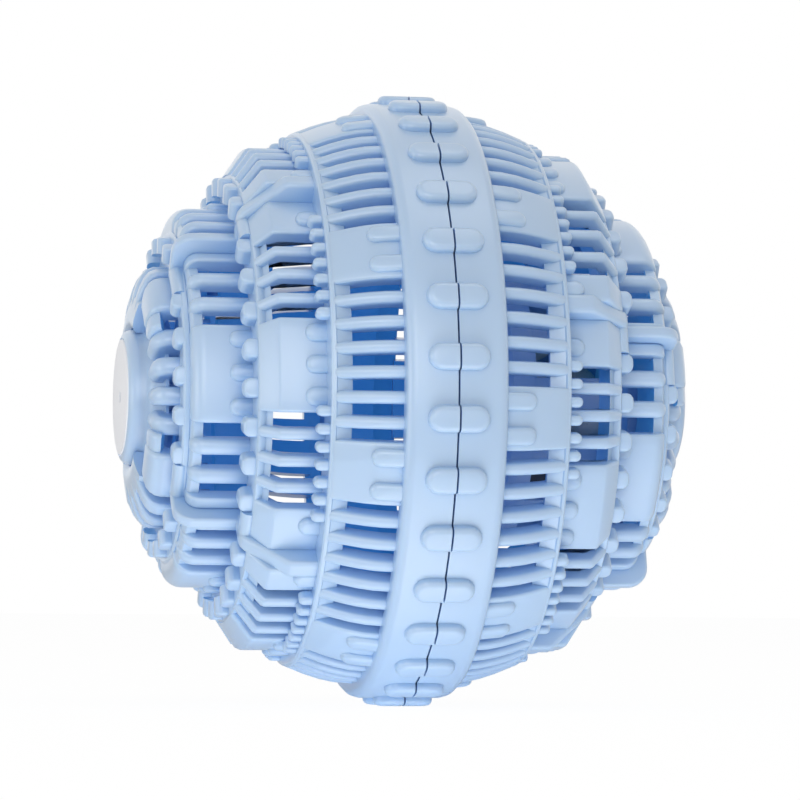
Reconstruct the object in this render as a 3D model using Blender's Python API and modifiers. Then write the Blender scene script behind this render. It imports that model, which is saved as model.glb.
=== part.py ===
"""Anti-tangle laundry ball: two ribbed half shells that pull apart, polar caps
with blank discs, and a four-chamber basket of ceramic beads in the right half.
Each shell steps down to its pole in four slotted rings with studs between them.

Frame: the ball's polar axis lies along X, +Z is up, and the origin is the
ball's centre. The left half is on the -X side. Angles around the axis start
at -Y, the side that faces the viewer.
"""
import math

import bmesh
import bpy
from mathutils import Matrix, Vector

MM = 0.001

# Overall size and the seam
BALL_DIAMETER = 100.0 * MM
FIT_GAP = 0.3 * MM
SEAM_HALF_GAP = FIT_GAP / 2

# Seam bumps, each split by the seam
PILL_COUNT = 32
PILL_LENGTH = 9.6 * MM
PILL_WIDTH = 4.2 * MM
PILL_HEIGHT = 1.4 * MM
PILL_SINK = 0.8 * MM
PILL_CORNER = 1.25 * MM

# Equator band and the spigot that plugs the halves together
BAND_HALF_WIDTH = 8.0 * MM
BAND_WALL = 5.4 * MM
BAND_EDGE_ROUND = 1.2 * MM
SPIGOT_LENGTH = 4.0 * MM
SPIGOT_WALL = 1.6 * MM

# Ring A, beside the band: closely ribbed with eight plain panels
RING_A_STEP = 2.3 * MM
RING_A_DROP = 3.0 * MM
RING_A_WIDTH = 10.9 * MM
RING_A_DEPTH = 4.8 * MM
RING_A_PITCH = math.radians(5.0)
RING_A_SLOT = math.radians(2.35)
RING_A_SLOTS = 7
RING_A_PANELS = 8

# Ring B: four quadrants, two of them recessed
RING_B_RADIUS = 40.9 * MM
RING_B_FLAT = 7.7 * MM
RING_B_CHAMFER = 4.6 * MM
RING_B_PITCH = math.radians(6.5)
RING_B_SLOT = math.radians(3.7)
RING_B_SLOTS = (2, 3, 4, 5)

# Ring C: the same layout on a smaller ring
RING_C_RADIUS = 30.8 * MM
RING_C_FLAT = 5.3 * MM
RING_C_CHAMFER = 4.0 * MM
RING_C_PITCH = math.radians(9.2)
RING_C_SLOT = math.radians(4.6)
RING_C_SLOTS = (2, 3, 4)

# Ring D, a crown of fingers, and the hub around the polar cap
RING_D_STEP = 2.4 * MM
RING_D_LENGTH = 5.2 * MM
RING_D_END_RADIUS = 13.7 * MM
RING_D_LOW_RADIUS = 19.5 * MM
RING_D_LOW_DROP = 2.1 * MM
RING_D_LOW_WALL = 2.2 * MM
RING_D_PITCH = math.radians(14.8)
RING_D_SLOT = math.radians(6.2)
RING_D_SLOTS = (0, 1, 2)
HUB_DROP = 3.1 * MM
HUB_WALL = 1.65 * MM
HUB_RADIUS = 13.4 * MM
WALL = 2.2 * MM
FLOOR_WALL = 2.0 * MM
RECESS_DEPTH = 2.2 * MM
RECESS_BACK = 2.0 * MM
RING_B_RIDGE = math.radians(5.4)
RING_C_RIDGE = math.radians(5.9)

# Bumps at the foot of the panels, as angles from the middle of each
BUMP_WIDTH = 2.9 * MM
BUMP_HEIGHT = 0.9 * MM
RING_A_BUMP = 4.9 * MM
RING_A_BUMPS = [math.radians(angle) for angle in (-3.35, 3.35)]
RING_B_BUMP = 3.3 * MM
RING_B_BUMPS = [math.radians(angle) for angle in (-7.4, 0, 7.4)]
RING_C_BUMP = 4.0 * MM
RING_C_BUMPS = [math.radians(angle) for angle in (-10.7, 0, 10.7)]

# Studs on the walls between the rings
STUD_WIDTH = 3.0 * MM
STUD_HEIGHT = 2.0 * MM
STUD_REACH = 2.2 * MM
RING_B_STUDS = [math.radians(10.4) * (n - 3.5) for n in range(8)]
RING_C_STUDS = [RING_D_PITCH * (n - 2) for n in range(5)]
SEAT = 0.5 * MM

# Polar cap and its blank disc
CAP_RADIUS = 11.0 * MM
CAP_REACH = 3.5 * MM
CAP_CONE = 0.7 * MM
CAP_FLANGE = 2.4 * MM
CAP_FLANGE_THICKNESS = 1.6 * MM
STEM_RADIUS = 5.0 * MM
STEM_LENGTH = 5.2 * MM
STEM_BORE = 3.2 * MM
DISC_RADIUS = 9.0 * MM
DISC_THICKNESS = 0.8 * MM
DISC_EDGE = 0.2 * MM
DISC_MARK_RADIUS = 0.9 * MM
DISC_MARK_DEPTH = 0.25 * MM

# Bead basket, its lid and the beads
BEAD_DIAMETER = 8.0 * MM
BEAD_LAYERS = 2
BEAD_SPREAD = math.radians(25.6)
BASKET_RADIUS = 21.0 * MM
BASKET_WALL = 1.5 * MM
BASKET_WINDOWS = 12
BASKET_WINDOW_ANGLE = math.radians(15.0)
WINDOW_RIM = 3.2 * MM
WINDOW_FOOT = 2.0 * MM
LID_THICKNESS = 1.6 * MM
LID_SKIRT = 2.6 * MM
LID_SLOT_WIDTH = 3.2 * MM

# How each half is turned about the axis: both are the same moulding, and the
# seam bumps of one meet those of the other
PILL_PITCH = math.tau / PILL_COUNT
LEFT_CLOCK = PILL_PITCH / 2
RIGHT_CLOCK = LEFT_CLOCK + 2 * PILL_PITCH

# Facets around each ring
SHELL_STEPS = 32
RECESS_STEPS = 7
CAP_STEPS = 20
BASKET_STEPS = 20

# How far a cutter reaches past what it cuts, and what counts as one point
SPARE = 3.0 * MM
SAME_POINT = 0.01 * MM

# Sizes worked out from the ones above
BALL_RADIUS = BALL_DIAMETER / 2
BAND_RADIUS = BALL_RADIUS - PILL_HEIGHT
BAND_BORE = BAND_RADIUS - BAND_WALL
SPIGOT_RADIUS = BAND_BORE + SPIGOT_WALL
SOCKET_RADIUS = SPIGOT_RADIUS + FIT_GAP
RING_A_RADIUS = BAND_RADIUS - RING_A_STEP
RING_A_END_RADIUS = RING_A_RADIUS - RING_A_DROP
RING_A_BORE = RING_A_RADIUS - RING_A_DEPTH
RING_A_END = BAND_HALF_WIDTH + RING_A_WIDTH
RING_B_END = RING_A_END + RING_B_FLAT + RING_B_CHAMFER
RING_C_END = RING_B_END + RING_C_FLAT + RING_C_CHAMFER
RING_D_RADIUS = RING_C_RADIUS - RING_C_CHAMFER - RING_D_STEP
RING_D_END = RING_C_END + RING_D_LENGTH
DOME_RADIUS = math.hypot(RING_D_END, RING_D_END_RADIUS)
HEEL_DEPTH = RECESS_DEPTH * 0.7
HUB_FACE = RING_D_END - HUB_DROP
HUB_INSIDE = HUB_FACE - HUB_WALL
HUB_BORE = CAP_RADIUS + FIT_GAP
CAP_FACE = HUB_FACE + CAP_REACH
DISC_FACE = CAP_FACE + DISC_THICKNESS / 2


def clear_scene():
    """Remove every object, so that the model starts from nothing."""
    for old in list(bpy.data.objects):
        bpy.data.objects.remove(old, do_unlink=True)


def collection(name):
    """A new collection in the scene."""
    made = bpy.data.collections.new(name)
    bpy.context.scene.collection.children.link(made)
    return made


def matt(name, colour, roughness):
    """A Principled material in one colour."""
    material = bpy.data.materials.new(name)
    material.use_nodes = True
    shader = material.node_tree.nodes["Principled BSDF"]
    shader.inputs["Base Color"].default_value = (*colour, 1.0)
    shader.inputs["Roughness"].default_value = roughness
    return material


def add_object(name, mesh, home, material=None):
    """Put a mesh in the scene under a name."""
    made = bpy.data.objects.new(name, mesh)
    home.objects.link(made)
    if material:
        mesh.materials.append(material)
    return made


def as_tool(tool):
    """Mark an object as one that only cuts or joins."""
    tool.hide_render = True
    tool.display_type = "WIRE"
    return tool


def mesh_from(bm, name):
    """Close a bmesh into a mesh with its faces pointing out."""
    bmesh.ops.recalc_face_normals(bm, faces=bm.faces[:])
    mesh = bpy.data.meshes.new(name)
    bm.to_mesh(mesh)
    bm.free()
    return mesh


def turned(name, outline, steps, home, material=None, closed=False):
    """A full turn of an outline about Z. The outline is (height, radius) points
    that run down the outer side. A closed one goes on back up the inner side,
    and an open one begins and ends on the axis."""
    mesh = bpy.data.meshes.new(name)
    corners = [(radius, 0.0, height) for height, radius in outline]
    sides = [(k, k + 1) for k in range(len(outline) - 1)]
    if closed:
        sides.append((len(outline) - 1, 0))
    mesh.from_pydata(corners, sides, [])
    made = add_object(name, mesh, home, material)
    screw = made.modifiers.new("turn", "SCREW")
    screw.angle = math.tau
    screw.steps = steps
    screw.render_steps = steps
    screw.use_merge_vertices = True
    screw.merge_threshold = SAME_POINT
    return made


def add_sector(bm, outline, centre, width, steps=1):
    """Add a closed solid: an outline of (height, radius) points swept through
    part of a turn about Z."""
    start = centre - width / 2
    turn = Matrix.Rotation(start, 3, "Z")
    corners = [bm.verts.new(turn @ Vector((radius, 0.0, height))) for height, radius in outline]
    face = bm.faces.new(corners)
    sweep = [face] + face.edges[:] + face.verts[:]
    bmesh.ops.spin(bm, geom=sweep, cent=(0, 0, 0), axis=(0, 0, 1), angle=width,
                   steps=steps, use_duplicate=False)


def add_boolean(target, tool, operation, label):
    """Cut or join one object with another."""
    step = target.modifiers.new(label, "BOOLEAN")
    step.operation = operation
    step.solver = "EXACT"
    step.object = tool
    tool.parent = target


def sectors_tool(name, outline, centres, width, home, steps=1):
    """One cutter that holds the same sector at several angles."""
    bm = bmesh.new()
    for centre in centres:
        add_sector(bm, outline, centre, width, steps)
    return as_tool(add_object(name, mesh_from(bm, name), home))


def add_block(bm, length, width, height, place, corner=0.0):
    """Add a raised block along Z, with its back at x = 0 before it is put in
    its place. The corner is how much of its two far corners is cut off."""
    corners = bmesh.ops.create_cube(bm, size=1.0)["verts"]
    bmesh.ops.scale(bm, vec=(height, width, length), verts=corners)
    bmesh.ops.translate(bm, vec=(height / 2, 0, length / 2), verts=corners)
    body = set(corners)
    if corner:
        edges = {edge for vert in corners for edge in vert.link_edges}
        upright = [edge for edge in edges
                   if abs(edge.verts[0].co.x - edge.verts[1].co.x) > height / 2
                   and edge.verts[0].co.z > length / 2]
        cut = bmesh.ops.bevel(bm, geom=upright, offset=corner, segments=1,
                              affect="EDGES", profile=0.5, material=-1)
        body = {vert for vert in body if vert.is_valid}
        body |= {vert for face in cut["faces"] for vert in face.verts}
    bmesh.ops.transform(bm, matrix=place, verts=list(body))


def around(angle, radius, height):
    """A place at an angle, radius and height about Z, facing outwards."""
    return Matrix.Rotation(angle, 4, "Z") @ Matrix.Translation((radius, 0, height))


def quadrant_angles(units, pitch):
    """Slot angles in the four quadrants, mirrored about each big panel."""
    angles = []
    for quadrant in range(4):
        middle = quadrant * math.pi / 2
        for unit in units:
            angles.append(middle + unit * pitch)
            if unit:
                angles.append(middle - unit * pitch)
    return angles


def dome_points(count=3):
    """The domed outer line of ring D, from the hub out to the wall of ring C."""
    first = math.asin(RING_D_END_RADIUS / DOME_RADIUS)
    last = math.asin(RING_D_RADIUS / DOME_RADIUS)
    angles = [first + (last - first) * n / (count - 1) for n in range(count)]
    return [(DOME_RADIUS * math.cos(angle), DOME_RADIUS * math.sin(angle)) for angle in angles]


def section(with_spigot):
    """The half shell in section, as (height, radius) points: the stepped outer
    side from the cap's hole down to the seam, then the inner side back up."""
    flat_b = RING_A_END + RING_B_FLAT
    flat_c = RING_B_END + RING_C_FLAT
    end_b = RING_B_RADIUS - RING_B_CHAMFER
    end_c = RING_C_RADIUS - RING_C_CHAMFER
    outer = [(HUB_FACE, HUB_BORE), (HUB_FACE, HUB_RADIUS)]
    outer += dome_points()
    outer += [(RING_C_END, RING_D_RADIUS), (RING_C_END, end_c),
             (flat_c + RING_C_CHAMFER * 0.6, RING_C_RADIUS - RING_C_CHAMFER * 0.3),
             (flat_c, RING_C_RADIUS), (RING_B_END, RING_C_RADIUS),
             (RING_B_END, end_b), (flat_b, RING_B_RADIUS), (RING_A_END, RING_B_RADIUS),
             (RING_A_END, RING_A_END_RADIUS), (BAND_HALF_WIDTH, RING_A_RADIUS),
             (BAND_HALF_WIDTH, BAND_RADIUS - BAND_EDGE_ROUND),
             (BAND_HALF_WIDTH - BAND_EDGE_ROUND, BAND_RADIUS)]
    spigot_low = SEAM_HALF_GAP - SPIGOT_LENGTH
    socket_floor = SEAM_HALF_GAP + SPIGOT_LENGTH + FIT_GAP
    if with_spigot:
        seam = [(spigot_low, BAND_RADIUS), (spigot_low, BAND_BORE)]
    else:
        seam = [(-SPARE, BAND_RADIUS), (-SPARE, SOCKET_RADIUS), (socket_floor, SOCKET_RADIUS),
                (socket_floor, BAND_BORE)]
    floor_b = RING_B_RADIUS - RECESS_DEPTH - FLOOR_WALL
    floor_c = RING_C_RADIUS - RECESS_DEPTH - FLOOR_WALL
    wall_b = RING_B_END - RECESS_BACK - FLOOR_WALL
    wall_c = RING_C_END - RECESS_BACK - FLOOR_WALL
    inner = [(BAND_HALF_WIDTH, BAND_BORE), (BAND_HALF_WIDTH, RING_A_BORE),
             (RING_A_END - WALL, RING_A_BORE), (RING_A_END - WALL, floor_b),
             (flat_b - WALL * 0.6, floor_b), (wall_b, end_b - RECESS_DEPTH - FLOOR_WALL / 2),
             (wall_b, floor_c), (flat_c - WALL * 0.3, floor_c),
             (wall_c, end_c - RECESS_DEPTH), (wall_c, RING_D_LOW_RADIUS - RING_D_LOW_WALL),
             (HUB_INSIDE, HUB_RADIUS + WALL * 0.5), (HUB_INSIDE, HUB_BORE)]
    return outer + seam + inner


def recess_sections():
    """What is taken from the rings in the two recessed quadrants: one section
    for ring B, and one for rings C and D down to the low fingers and the groove
    between them and the hub."""
    ledge = RING_C_RADIUS - RECESS_DEPTH * 0.9
    past_b = RING_B_END + SPARE
    past_d = RING_D_END + SPARE
    tip = RING_D_END - RING_D_LOW_DROP
    root = RING_D_LOW_RADIUS - RING_D_LOW_WALL
    after_b = [(RING_B_END - RECESS_BACK, ledge), (past_b, ledge), (past_b, RING_B_RADIUS + SPARE)]
    after_c = [(RING_C_END - RECESS_BACK, RING_D_LOW_RADIUS), (tip, RING_D_LOW_RADIUS),
               (tip, root + SEAT), (HUB_FACE - WALL * 0.5, root), (HUB_FACE, HUB_RADIUS),
               (past_d, HUB_RADIUS), (past_d, RING_C_RADIUS + SPARE)]
    made = []
    for start, end, radius, flat, chamfer, after in (
            (RING_A_END, RING_B_END, RING_B_RADIUS, RING_B_FLAT, RING_B_CHAMFER, after_b),
            (RING_B_END, RING_C_END, RING_C_RADIUS, RING_C_FLAT, RING_C_CHAMFER, after_c)):
        low = radius - RECESS_DEPTH
        heel = radius - chamfer - HEEL_DEPTH
        floor = [(start, low), (start + flat - RECESS_DEPTH * 0.4, low), (end - RECESS_BACK, heel)]
        made.append(floor + after + [(start, radius + SPARE)])
    return made


def slot_tools(name, home):
    """The cutters for the slots of rings A to D."""
    low_a = RING_A_BORE - SPARE
    start_a = BAND_HALF_WIDTH + FIT_GAP
    slot_a = [(start_a, low_a), (RING_A_END - WALL * 1.5, low_a),
              (RING_A_END - WALL * 0.4, BAND_RADIUS), (start_a, BAND_RADIUS)]
    sector = math.tau / RING_A_PANELS
    half = (RING_A_SLOTS - 1) / 2
    angles_a = [k * sector + (n - half) * RING_A_PITCH
                for k in range(RING_A_PANELS) for n in range(RING_A_SLOTS)]
    tools = [sectors_tool(name + "_slots_a", slot_a, angles_a, RING_A_SLOT, home)]
    for label, start, flat, radius, units, pitch, width in (
            ("b", RING_A_END, RING_B_FLAT, RING_B_RADIUS, RING_B_SLOTS, RING_B_PITCH, RING_B_SLOT),
            ("c", RING_B_END, RING_C_FLAT, RING_C_RADIUS, RING_C_SLOTS, RING_C_PITCH, RING_C_SLOT)):
        low = radius - RECESS_DEPTH - WALL - SPARE
        begin = start + WALL * 0.3
        end = start + flat - WALL * 0.4
        slot = [(begin, low), (end, low), (end, radius + SPARE), (begin, radius + SPARE)]
        angles = quadrant_angles(units, pitch)
        tools.append(sectors_tool(name + "_slots_" + label, slot, angles, width, home))
    root = RING_D_LOW_RADIUS - RING_D_LOW_WALL
    inside = HUB_INSIDE - SPARE * 2
    break_through = HUB_FACE - WALL * 0.5
    clear = RING_C_END + FIT_GAP
    slot_d = [(inside, root - WALL * 0.5), (break_through, root - WALL * 0.5),
              (RING_D_END + SPARE, root + WALL * 0.5),
              (RING_D_END + SPARE, RING_D_RADIUS + SPARE), (clear, RING_D_RADIUS + SPARE),
              (clear, RING_D_LOW_RADIUS + SEAT), (inside, RING_D_LOW_RADIUS + SEAT)]
    angles_d = quadrant_angles(RING_D_SLOTS, RING_D_PITCH)
    tools.append(sectors_tool(name + "_slots_d", slot_d, angles_d, RING_D_SLOT, home))
    return tools


def seam_bumps(name, home):
    """The raised bumps that straddle the seam. The seam cut splits them."""
    bm = bmesh.new()
    reach = SPIGOT_LENGTH / 4
    for k in range(PILL_COUNT):
        place = around(k * math.tau / PILL_COUNT, BAND_RADIUS - PILL_SINK, -reach)
        add_block(bm, PILL_LENGTH / 2 + reach, PILL_WIDTH, PILL_HEIGHT + PILL_SINK, place,
                  PILL_CORNER)
    return as_tool(add_object(name, mesh_from(bm, name), home))


def quadrants():
    """The middle angle of each quadrant, with how deep its rings are recessed
    on the flat and at the wall, and how far back they end."""
    depths = ((RECESS_DEPTH, HEEL_DEPTH, RECESS_BACK), (0.0, 0.0, 0.0))
    return [(k * math.pi / 2, *depths[k % 2]) for k in range(4)]


def panel_bumps(name, home):
    """The bumps at the foot of the panels of rings A, B and C."""
    bm = bmesh.new()
    height = BUMP_HEIGHT + SEAT
    lean = Matrix.Rotation(-math.atan2(RING_A_DROP, RING_A_WIDTH), 4, "Y")
    for k in range(RING_A_PANELS):
        for offset in RING_A_BUMPS:
            place = around((k + 0.5) * math.tau / RING_A_PANELS + offset, RING_A_RADIUS - SEAT,
                           BAND_HALF_WIDTH - SEAT)
            add_block(bm, RING_A_BUMP + SEAT, BUMP_WIDTH, height, place @ lean)
    for middle, depth, heel, back in quadrants():
        for start, radius, length, offsets in (
                (RING_A_END, RING_B_RADIUS, RING_B_BUMP, RING_B_BUMPS),
                (RING_B_END - back, RING_C_RADIUS, RING_C_BUMP, RING_C_BUMPS)):
            for offset in offsets:
                place = around(middle + offset, radius - depth - SEAT, start - SEAT)
                add_block(bm, length + SEAT, BUMP_WIDTH, height, place)
    return as_tool(add_object(name, mesh_from(bm, name), home))


def wall_studs(name, home):
    """The studs on the walls that end rings B and C."""
    bm = bmesh.new()
    for middle, depth, heel, back in quadrants():
        for wall, radius, offsets in (
                (RING_B_END, RING_B_RADIUS - RING_B_CHAMFER, RING_B_STUDS),
                (RING_C_END, RING_C_RADIUS - RING_C_CHAMFER, RING_C_STUDS)):
            inner = radius - heel - FIT_GAP - STUD_HEIGHT
            for offset in offsets:
                place = around(middle + offset, inner, wall - back - SEAT)
                add_block(bm, STUD_REACH + SEAT, STUD_WIDTH, STUD_HEIGHT, place)
    return as_tool(add_object(name, mesh_from(bm, name), home))


def seam_tool(name, with_spigot, home):
    """What lies past the seam: everything outside the spigot, or everything."""
    low = -SPIGOT_LENGTH - PILL_LENGTH
    wide = BALL_RADIUS + SPARE
    inside = SPIGOT_RADIUS if with_spigot else BAND_BORE
    outline = [(SEAM_HALF_GAP, inside), (SEAM_HALF_GAP, wide), (low, wide), (low, inside)]
    return as_tool(turned(name, outline, SHELL_STEPS, home, closed=True))


def half_shell(name, with_spigot, parts, tools, material):
    """One moulded half, pole up at +Z with its seam at the XY plane."""
    shell = turned(name, section(with_spigot), SHELL_STEPS, parts, material, closed=True)
    recess_b, recess_c = recess_sections()
    for label, outline, ridge in (("b", recess_b, RING_B_RIDGE), ("c", recess_c, RING_C_RIDGE)):
        cutter = sectors_tool(name + "_recess_" + label, outline, (0.0, math.pi),
                              math.pi / 2 - ridge, tools, RECESS_STEPS)
        add_boolean(shell, cutter, "DIFFERENCE", "recess " + label)
    for n, cutter in enumerate(slot_tools(name, tools)):
        add_boolean(shell, cutter, "DIFFERENCE", "slots %d" % n)
    add_boolean(shell, panel_bumps(name + "_bumps", tools), "UNION", "bumps")
    add_boolean(shell, wall_studs(name + "_studs", tools), "UNION", "studs")
    add_boolean(shell, seam_bumps(name + "_pills", tools), "UNION", "pills")
    add_boolean(shell, seam_tool(name + "_seam", with_spigot, tools), "DIFFERENCE", "seam")
    return shell


def cap(name, parts, material):
    """The polar cap: a plug with a flange behind the hub and a hollow stem."""
    flange_top = HUB_INSIDE - FIT_GAP
    flange_low = flange_top - CAP_FLANGE_THICKNESS
    rim = DISC_RADIUS + FIT_GAP
    seat = CAP_FACE - DISC_THICKNESS / 2
    outline = [(seat, 0.0), (seat, rim), (CAP_FACE, rim), (CAP_FACE, rim + FIT_GAP),
               (CAP_FACE - CAP_REACH * 0.3, CAP_RADIUS - CAP_CONE),
               (CAP_FACE - CAP_REACH * 0.6, CAP_RADIUS), (flange_top, CAP_RADIUS),
               (flange_top, CAP_RADIUS + CAP_FLANGE), (flange_low, CAP_RADIUS + CAP_FLANGE),
               (flange_low, STEM_RADIUS), (flange_low - STEM_LENGTH, STEM_RADIUS),
               (flange_low - STEM_LENGTH, STEM_BORE), (flange_top, STEM_BORE),
               (flange_top, 0.0)]
    return turned(name, outline, CAP_STEPS, parts, material)


def disc(name, parts, material):
    """The blank disc on the cap, with a shallow dimple at its centre."""
    low = CAP_FACE - DISC_THICKNESS / 2 + FIT_GAP / 2
    dimple = DISC_FACE - DISC_MARK_DEPTH
    outline = [(dimple, 0.0), (dimple, DISC_MARK_RADIUS * 0.7), (DISC_FACE, DISC_MARK_RADIUS),
               (DISC_FACE, DISC_RADIUS - DISC_EDGE), (DISC_FACE - DISC_EDGE, DISC_RADIUS),
               (low, DISC_RADIUS), (low, 0.0)]
    return turned(name, outline, CAP_STEPS, parts, material)


def basket_heights():
    """Where the basket's floor and rim lie along the axis."""
    floor_outer = HUB_INSIDE - FIT_GAP - CAP_FLANGE_THICKNESS - STEM_LENGTH
    floor_inner = floor_outer - BASKET_WALL
    layer = BEAD_DIAMETER + FIT_GAP
    rim = floor_inner - BEAD_LAYERS * layer - FIT_GAP
    return floor_outer, floor_inner, rim


def cross_wall(name, reach, low, high, home):
    """Two crossing walls in one piece: a plus-shaped outline raised along Z."""
    half = BASKET_WALL / 2
    bm = bmesh.new()
    corners = []
    for quarter in range(4):
        turn = Matrix.Rotation(quarter * math.pi / 2, 3, "Z")
        for x, y in ((reach, -half), (reach, half), (half, half)):
            corners.append(bm.verts.new(turn @ Vector((x, y, low))))
    face = bm.faces.new(corners)
    raised = bmesh.ops.extrude_face_region(bm, geom=[face], use_keep_orig=True)["geom"]
    top = [item for item in raised if isinstance(item, bmesh.types.BMVert)]
    bmesh.ops.translate(bm, vec=(0, 0, high - low), verts=top)
    return as_tool(add_object(name, mesh_from(bm, name), home))


def basket(name, parts, tools, material):
    """A round cup with a cross wall that makes four chambers, side windows and
    a boss that slides over the cap's stem."""
    floor_outer, floor_inner, rim = basket_heights()
    boss_top = HUB_INSIDE - FIT_GAP - CAP_FLANGE_THICKNESS - FIT_GAP
    inner = BASKET_RADIUS - BASKET_WALL
    boss_inner = STEM_RADIUS + FIT_GAP
    floor_gap = floor_outer - FIT_GAP
    outline = [(floor_gap, 0.0), (floor_gap, boss_inner), (boss_top, boss_inner),
               (boss_top, boss_inner + BASKET_WALL), (floor_outer, boss_inner + BASKET_WALL),
               (floor_outer, inner), (floor_outer - BASKET_WALL, BASKET_RADIUS),
               (rim, BASKET_RADIUS), (rim, inner), (floor_inner, inner), (floor_inner, 0.0)]
    cup = turned(name, outline, BASKET_STEPS, parts, material)
    low = rim + WINDOW_RIM
    high = floor_inner - WINDOW_FOOT
    wide = BASKET_RADIUS + SPARE
    window = [(low, inner - SPARE), (high, inner - SPARE), (high, wide), (low, wide)]
    step = math.tau / BASKET_WINDOWS
    angles = [(k + 0.5) * step for k in range(BASKET_WINDOWS)]
    windows = sectors_tool(name + "_windows", window, angles, BASKET_WINDOW_ANGLE, tools)
    add_boolean(cup, windows, "DIFFERENCE", "windows")
    cross = cross_wall(name + "_cross", inner + BASKET_WALL / 2, rim + FIT_GAP,
                       floor_inner + BASKET_WALL / 2, tools)
    add_boolean(cup, cross, "UNION", "cross")
    return cup


def lid(name, parts, tools, material):
    """The basket's lid: a slotted disc with a skirt around the basket's rim."""
    rim = basket_heights()[2]
    skirt = BASKET_RADIUS + FIT_GAP
    outer = skirt + BASKET_WALL
    top = rim - FIT_GAP
    outline = [(top, 0.0), (top, skirt), (top + LID_SKIRT, skirt), (top + LID_SKIRT, outer),
               (top - LID_THICKNESS + BASKET_WALL / 2, outer),
               (top - LID_THICKNESS, outer - BASKET_WALL / 2), (top - LID_THICKNESS, 0.0)]
    plate = turned(name, outline, BASKET_STEPS, parts, material)
    bm = bmesh.new()
    count = int((BASKET_RADIUS * 2 - BEAD_DIAMETER) / (LID_SLOT_WIDTH * 2))
    for n in range(count):
        across = (n - (count - 1) / 2) * LID_SLOT_WIDTH * 2
        reach = math.sqrt((BASKET_RADIUS - BASKET_WALL * 2) ** 2 - across ** 2)
        slot = bmesh.ops.create_cube(bm, size=1.0)["verts"]
        bmesh.ops.scale(bm, vec=(reach * 2, LID_SLOT_WIDTH, LID_THICKNESS * 3), verts=slot)
        bmesh.ops.translate(bm, vec=(0, across, top - LID_THICKNESS / 2), verts=slot)
    cutter = as_tool(add_object(name + "_slots", mesh_from(bm, name + "_slots"), tools))
    add_boolean(plate, cutter, "DIFFERENCE", "slots")
    return plate


def beads(parts, materials):
    """Ceramic beads: three in each layer of each chamber."""
    floor_inner = basket_heights()[1]
    radius = BEAD_DIAMETER / 2
    layer = BEAD_DIAMETER + FIT_GAP
    inner = BASKET_RADIUS - BASKET_WALL
    near_wall = BASKET_WALL / 2 + FIT_GAP + radius
    outer_place = inner - FIT_GAP - radius
    bm = bmesh.new()
    bmesh.ops.create_uvsphere(bm, u_segments=8, v_segments=4, radius=radius)
    shape = mesh_from(bm, "bead")
    shape.shade_smooth()
    made = []
    for chamber in range(4):
        diagonal = math.pi / 4 + chamber * math.pi / 2
        spots = [(near_wall * math.sqrt(2), diagonal), (outer_place, diagonal + BEAD_SPREAD),
                 (outer_place, diagonal - BEAD_SPREAD)]
        for row in range(BEAD_LAYERS):
            height = floor_inner - FIT_GAP - radius - row * layer
            for n, (reach, angle) in enumerate(spots):
                name = "bead_%d_%d_%d" % (chamber + 1, row + 1, n + 1)
                bead = add_object(name, shape.copy(), parts, materials[chamber])
                bead.location = (reach * math.cos(angle), reach * math.sin(angle), height)
                made.append(bead)
    return made


def build():
    clear_scene()
    parts = collection("anti_tangle_laundry_ball")
    tools = collection("cutters")
    blue = matt("pale_blue_plastic", (0.48, 0.61, 0.83), 0.38)
    white = matt("white_disc", (0.84, 0.84, 0.9), 0.4)
    ceramics = [matt("dark_grey_ceramic", (0.08, 0.08, 0.09), 0.6),
                matt("brown_ceramic", (0.28, 0.2, 0.15), 0.6),
                matt("pink_ceramic", (0.55, 0.38, 0.33), 0.6),
                matt("cream_ceramic", (0.7, 0.67, 0.6), 0.6)]

    left = [half_shell("left_shell", True, parts, tools, blue),
            cap("left_cap", parts, blue), disc("left_disc", parts, white)]
    right = [half_shell("right_shell", False, parts, tools, blue),
             cap("right_cap", parts, blue), disc("right_disc", parts, white),
             basket("bead_basket", parts, tools, blue), lid("basket_lid", parts, tools, blue)]
    right += beads(parts, ceramics)

    # Local X is the first angle, towards -Y. Local Z is the way to the pole.
    left_axes = Matrix(((0, 0, -1), (-1, 0, 0), (0, 1, 0))).to_4x4()
    right_axes = Matrix(((0, 0, 1), (-1, 0, 0), (0, -1, 0))).to_4x4()
    for side, axes, clock, pieces in (("left", left_axes, LEFT_CLOCK, left),
                                      ("right", right_axes, RIGHT_CLOCK, right)):
        frame = bpy.data.objects.new(side + "_half", None)
        parts.objects.link(frame)
        frame.matrix_world = axes @ Matrix.Rotation(clock, 4, "Z")
        for piece in pieces:
            piece.parent = frame
    bpy.context.view_layer.update()


build()
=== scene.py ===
import math

import bmesh
import bpy
from mathutils import Matrix, Vector


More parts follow.
